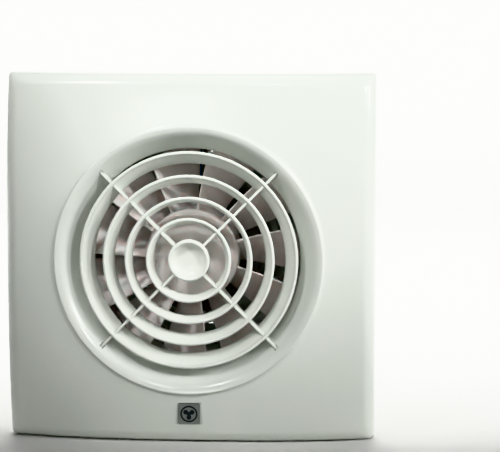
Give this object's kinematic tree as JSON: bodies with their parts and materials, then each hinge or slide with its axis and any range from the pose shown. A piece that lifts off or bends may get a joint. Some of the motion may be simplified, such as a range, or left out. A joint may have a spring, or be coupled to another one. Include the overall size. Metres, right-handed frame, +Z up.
{
  "type": "bathroom extractor fan",
  "caption": "Wall-mounted axial extractor fan with a domed square cover, concentric ring inlet grille, bladed impeller, motor and round duct spigot with a two-flap shutter.",
  "frame": {"origin": "on the fan axis, in the plane of the wall that the base plate is screwed to, at the middle of the four wall fixing holes", "axes": "+Y along the fan axis out through the duct spigot, -Y out of the front face, +Z up, +X to the right seen from the front"},
  "size_m": [0.158, 0.109, 0.158],
  "materials": {
    "cover_plastic": "glossy moulded white ABS",
    "base_plastic": "white ABS, moulded, half gloss",
    "impeller_plastic": "translucent milky grey moulded plastic",
    "badge_metal": "satin aluminium plate",
    "badge_ink": "raised dark sign",
    "rubber": "soft black rubber",
    "terminal_plastic": "natural nylon",
    "screw_steel": "zinc-plated steel",
    "brass": "turned brass",
    "lead_brown": "brown PVC insulation",
    "lead_blue": "blue PVC insulation",
    "spring_steel": "spring steel",
    "steel": "ground steel",
    "motor_plastic": "dark glass-filled nylon",
    "lamination_steel": "stacked electrical steel",
    "copper": "enamelled copper wire",
    "bobbin_plastic": "natural nylon",
    "fuse_body": "sleeved cut-out",
    "cast_aluminium": "die-cast aluminium",
    "bearing_steel": "polished bearing steel",
    "flap_plastic": "thin white plastic"
  },
  "bodies": {
    "housing": {"base_plate": "base_plastic", "cable_clamp": "terminal_plastic", "cable_grommet": "rubber", "clamp_screws": "screw_steel", "coil_bobbins": "bobbin_plastic", "copper_windings": "copper", "duct_tube": "base_plastic", "elastic_mount_1": "rubber", "elastic_mount_2": "rubber", "elastic_mount_3": "rubber", "front_outer_race": "bearing_steel", "lead_grommet": "rubber", "motor_cradle": "base_plastic", "motor_front_shell": "motor_plastic", "motor_lead_blue": "lead_blue", "motor_lead_brown": "lead_brown", "motor_rear_shell": "motor_plastic", "motor_tie_screws": "screw_steel", "rear_outer_race": "bearing_steel", "shading_rings": "copper", "shutter_pin": "steel", "shutter_springs": "spring_steel", "stator_core": "lamination_steel", "terminal_block": "terminal_plastic", "terminal_cover": "base_plastic", "terminal_cover_screw": "screw_steel", "terminal_screws": "brass", "thermal_fuse": "fuse_body"},
    "cover": {"front_cover": "cover_plastic", "ring_grille": "cover_plastic", "badge_plate": "badge_metal", "badge_emblem": "badge_ink"},
    "rotor": {"impeller": "impeller_plastic", "impeller_clip": "spring_steel", "motor_shaft": "steel", "rotor_core": "lamination_steel", "rotor_cage": "cast_aluminium", "front_inner_race": "bearing_steel", "rear_inner_race": "bearing_steel"},
    "bearing_balls": {"front_ball_set": "bearing_steel", "rear_ball_set": "bearing_steel"},
    "flap_right": {"shutter_flap_right": "flap_plastic"},
    "flap_left": {"shutter_flap_left": "flap_plastic"}
  },
  "joints": [
    {"name": "rotor_spin", "type": "hinge", "parent": "housing", "child": "rotor", "pos_m": [0, 0, 0], "axis": [0, -1, 0], "continuous": true},
    {"name": "ball_roll", "type": "hinge", "parent": "housing", "child": "bearing_balls", "pos_m": [0, 0, 0], "axis": [0, -1, 0], "continuous": true},
    {"name": "cover_pull", "type": "slide", "parent": "housing", "child": "cover", "axis": [0, -1, 0], "range_m": [0, 0.04]},
    {"name": "flap_right_swing", "type": "hinge", "parent": "housing", "child": "flap_right", "pos_m": [0, 0.065, 0], "axis": [0, 0, 1], "range_deg": [0, 72], "stiffness_Nm_per_rad": 0.0005, "springref_deg": -22.92},
    {"name": "flap_left_swing", "type": "hinge", "parent": "housing", "child": "flap_left", "pos_m": [0, 0.065, 0], "axis": [0, 0, -1], "range_deg": [0, 72], "stiffness_Nm_per_rad": 0.0005, "springref_deg": -22.92}
  ],
  "couplings": [
    {"joint": "ball_roll", "follows": "rotor_spin", "ratio": 0.3476}
  ]
}
